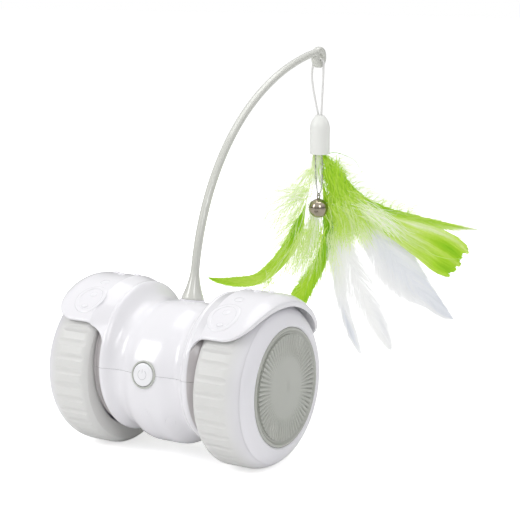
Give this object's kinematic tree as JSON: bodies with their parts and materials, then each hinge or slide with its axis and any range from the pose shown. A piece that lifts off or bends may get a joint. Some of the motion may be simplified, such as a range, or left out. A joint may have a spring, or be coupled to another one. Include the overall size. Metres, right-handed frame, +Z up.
{
  "type": "remote control cat toy",
  "caption": "Two-wheeled robotic cat toy: round body between fendered wheels, front power button, and a curved wand that dangles a feather lure with a bell.",
  "frame": {"origin": "on the floor, below the middle of the wheel axle", "axes": "+Z up; +X along the axle towards the right wheel; the front with the power button faces -Y, and the wand bends over to +Y"},
  "size_m": [0.1313, 0.2292, 0.1907],
  "materials": {
    "shell_white": "satin",
    "button_white": "satin",
    "ring_grey": "satin",
    "tyre_clear": "satin",
    "rim_white": "gloss",
    "hub_green_grey": "satin",
    "wand_grey": "satin",
    "string_white": "matte",
    "cap_white": "satin",
    "plug_white": "matte",
    "cord_silver": "matte",
    "bell_nickel": "polished",
    "feather_green": "matte",
    "feather_white": "matte",
    "steel": "satin",
    "weight_steel": "satin",
    "bronze": "satin",
    "gear_plastic": "satin",
    "inner_plastic": "matte",
    "board_green": "satin",
    "module_blue": "satin",
    "cell_sleeve": "satin"
  },
  "bodies": {
    "chassis": {"top_shell": "shell_white", "bottom_shell": "shell_white", "button_ring": "ring_grey", "battery_cell": "cell_sleeve", "battery_tray": "inner_plastic", "ballast_weights": "weight_steel", "main_board": "board_green", "receiver_module": "module_blue", "charging_socket": "steel", "switch_board": "board_green", "tact_switch": "inner_plastic", "shell_screws": "steel", "board_screws": "steel", "gear_cover_screws": "steel", "screw_plugs": "shell_white", "right_shaft_bush": "bronze", "right_motor": "steel", "right_gear_pins": "steel", "right_gear_plate": "inner_plastic", "right_gear_cover": "inner_plastic", "left_shaft_bush": "bronze", "left_motor": "steel", "left_gear_pins": "steel", "left_gear_plate": "inner_plastic", "left_gear_cover": "inner_plastic"},
    "right_wheel": {"right_tyre": "tyre_clear", "right_wheel_rim": "rim_white", "right_hub_cover": "hub_green_grey", "right_wheel_shaft": "steel", "right_wheel_screw": "steel", "right_output_gear": "gear_plastic"},
    "right_second_gear": {"right_second_gear": "gear_plastic"},
    "right_first_gear": {"right_first_gear": "gear_plastic"},
    "right_motor_pinion": {"right_motor_pinion": "gear_plastic"},
    "left_wheel": {"left_tyre": "tyre_clear", "left_wheel_rim": "rim_white", "left_hub_cover": "hub_green_grey", "left_wheel_shaft": "steel", "left_wheel_screw": "steel", "left_output_gear": "gear_plastic"},
    "left_second_gear": {"left_second_gear": "gear_plastic"},
    "left_first_gear": {"left_first_gear": "gear_plastic"},
    "left_motor_pinion": {"left_motor_pinion": "gear_plastic"},
    "button": {"power_button": "button_white"},
    "wand": {"wand": "wand_grey"},
    "string": {"string_loop": "string_white"},
    "toy": {"feather_cap": "cap_white", "feather_plug": "plug_white", "feather_left_green": "feather_green", "feather_left_down": "feather_green", "feather_middle_green": "feather_green", "feather_fan_green": "feather_green", "feather_right_green": "feather_green", "feather_white_upper": "feather_white", "feather_white_lower": "feather_white", "feather_white_back": "feather_white"},
    "bell": {"bell_cord": "cord_silver", "bell_upper": "bell_nickel", "bell_lower": "bell_nickel"},
    "pellet": {"bell_pellet": "steel"}
  },
  "joints": [
    {"name": "right_wheel_spin", "type": "hinge", "parent": "chassis", "child": "right_wheel", "pos_m": [0.038, 0, 0.04], "axis": [1, 0, 0], "continuous": true},
    {"name": "right_second_gear_spin", "type": "hinge", "parent": "chassis", "child": "right_second_gear", "pos_m": [0.021, -0.01231, 0.04217], "axis": [1, 0, 0], "continuous": true},
    {"name": "right_first_gear_spin", "type": "hinge", "parent": "chassis", "child": "right_first_gear", "pos_m": [0.021, -0.00495, 0.05101], "axis": [1, 0, 0], "continuous": true},
    {"name": "right_motor_pinion_spin", "type": "hinge", "parent": "chassis", "child": "right_motor_pinion", "pos_m": [0.021, 0.0056, 0.04643], "axis": [1, 0, 0], "continuous": true},
    {"name": "left_wheel_spin", "type": "hinge", "parent": "chassis", "child": "left_wheel", "pos_m": [-0.038, 0, 0.04], "axis": [1, 0, 0], "continuous": true},
    {"name": "left_second_gear_spin", "type": "hinge", "parent": "chassis", "child": "left_second_gear", "pos_m": [-0.021, -0.01231, 0.04217], "axis": [1, 0, 0], "continuous": true},
    {"name": "left_first_gear_spin", "type": "hinge", "parent": "chassis", "child": "left_first_gear", "pos_m": [-0.021, -0.00495, 0.05101], "axis": [1, 0, 0], "continuous": true},
    {"name": "left_motor_pinion_spin", "type": "hinge", "parent": "chassis", "child": "left_motor_pinion", "pos_m": [-0.021, 0.0056, 0.04643], "axis": [1, 0, 0], "continuous": true},
    {"name": "power_button_press", "type": "slide", "parent": "chassis", "child": "button", "axis": [0, 0.9848, -0.1736], "range_m": [0, 0.0008], "stiffness_N_per_m": 600},
    {"name": "wand_pull", "type": "slide", "parent": "chassis", "child": "wand", "axis": [0, 0.1736, 0.9848], "range_m": [0, 0.014]},
    {"name": "string_swing", "type": "hinge", "parent": "wand", "child": "string", "pos_m": [0, 0.13198, 0.18393], "axis": [1, 0, 0], "range_deg": [-25, 80]},
    {"name": "toy_swing", "type": "hinge", "parent": "string", "child": "toy", "pos_m": [0.001, 0.13198, 0.15388], "axis": [0, 1, 0], "range_deg": [-20, 20]},
    {"name": "bell_swing", "type": "hinge", "parent": "toy", "child": "bell", "pos_m": [0.00075, 0.13148, 0.13368], "axis": [1, 0, 0], "range_deg": [-12, 0]},
    {"name": "pellet_roll", "type": "hinge", "parent": "bell", "child": "pellet", "pos_m": [0.00075, 0.13148, 0.10258], "axis": [0, 1, 0], "range_deg": [-60, 60]}
  ],
  "couplings": [
    {"joint": "right_second_gear_spin", "follows": "right_wheel_spin", "ratio": -4},
    {"joint": "right_first_gear_spin", "follows": "right_wheel_spin", "ratio": 14.4},
    {"joint": "right_motor_pinion_spin", "follows": "right_wheel_spin", "ratio": -51.84},
    {"joint": "left_second_gear_spin", "follows": "left_wheel_spin", "ratio": -4},
    {"joint": "left_first_gear_spin", "follows": "left_wheel_spin", "ratio": 14.4},
    {"joint": "left_motor_pinion_spin", "follows": "left_wheel_spin", "ratio": -51.84}
  ]
}
